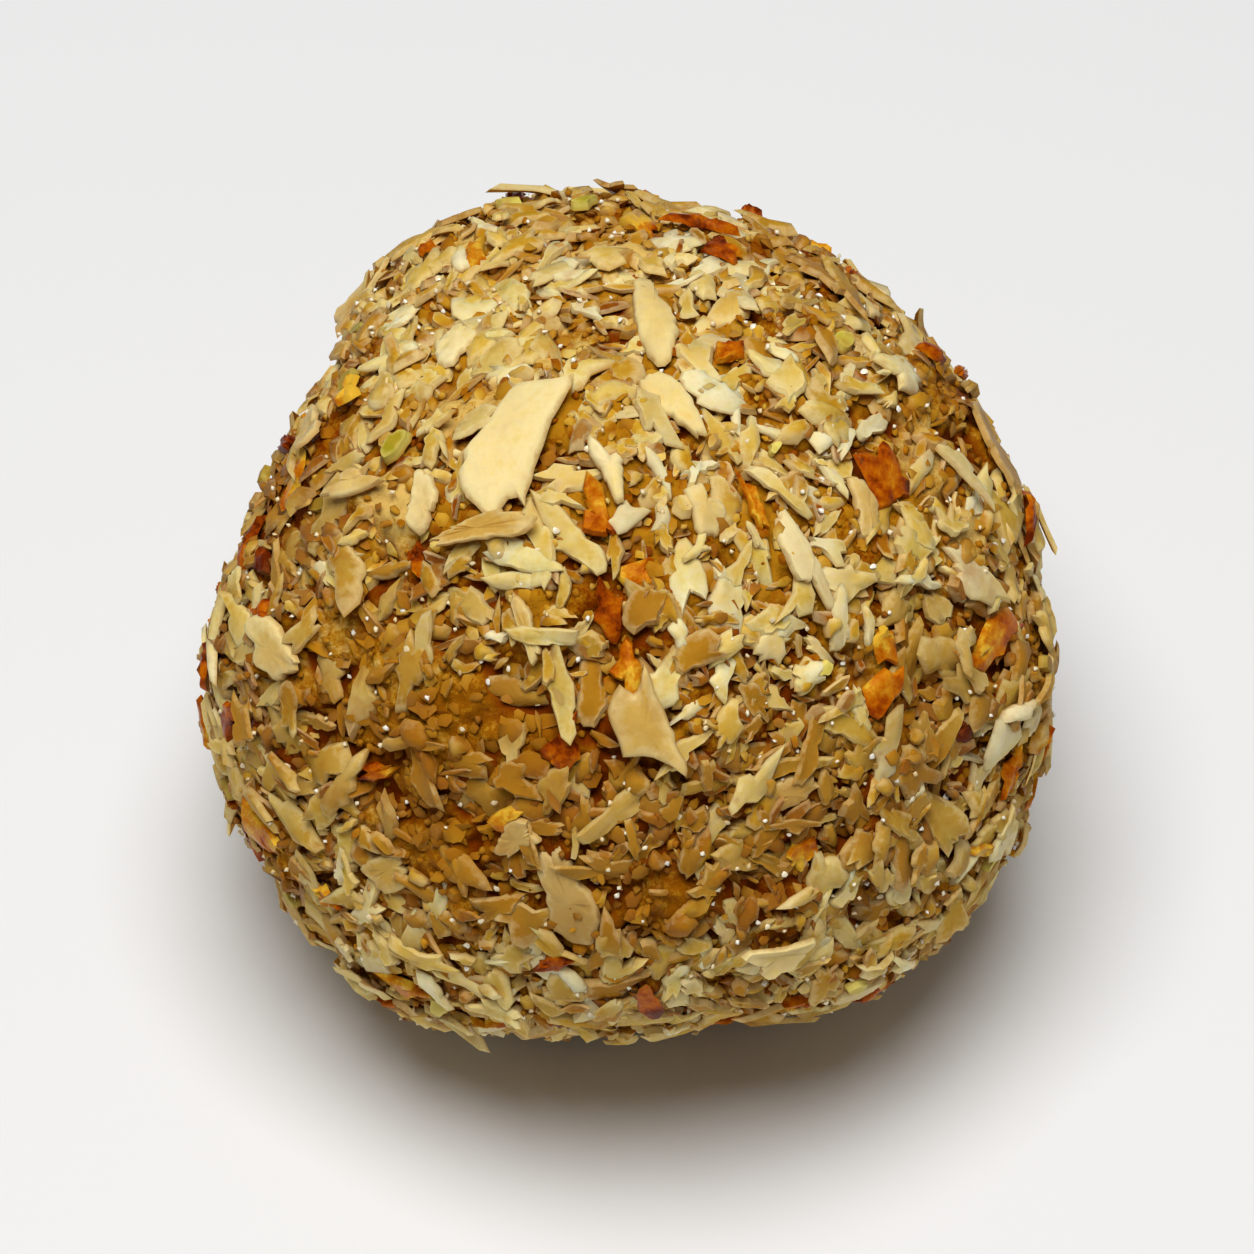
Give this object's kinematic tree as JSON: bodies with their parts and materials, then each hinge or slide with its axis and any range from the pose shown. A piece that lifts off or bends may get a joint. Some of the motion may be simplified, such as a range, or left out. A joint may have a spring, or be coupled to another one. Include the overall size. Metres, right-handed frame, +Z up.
{
  "type": "oat makhana ladoo",
  "caption": "Hand-rolled ball sweet of oat, puffed lotus seed and date paste, coated with jagged chopped nuts, resting on a small flat underside.",
  "frame": {"origin": "the middle of the object's box, on the flat underside that the ball rests on", "axes": "+Z up, away from the surface it rests on; -Y towards the side the picture shows, +X to that view's right"},
  "size_m": [0.0456, 0.047, 0.0443],
  "materials": {
    "paste": "golden brown sticky date and oat paste, satin where it is bare",
    "almond": "pale cream broken almond flakes, matte with tan edges",
    "chopped_nuts": "cream to tan crushed nut, oat and puffed seed, matte",
    "dried_fruit": "amber brown fruit and nut skin slivers, slightly moist",
    "pistachio": "yellow-green chopped pistachio, matte",
    "seeds": "tiny off-white seeds and sugar grains"
  },
  "bodies": {
    "root": {"ladoo": "paste"}
  },
  "joints": []
}
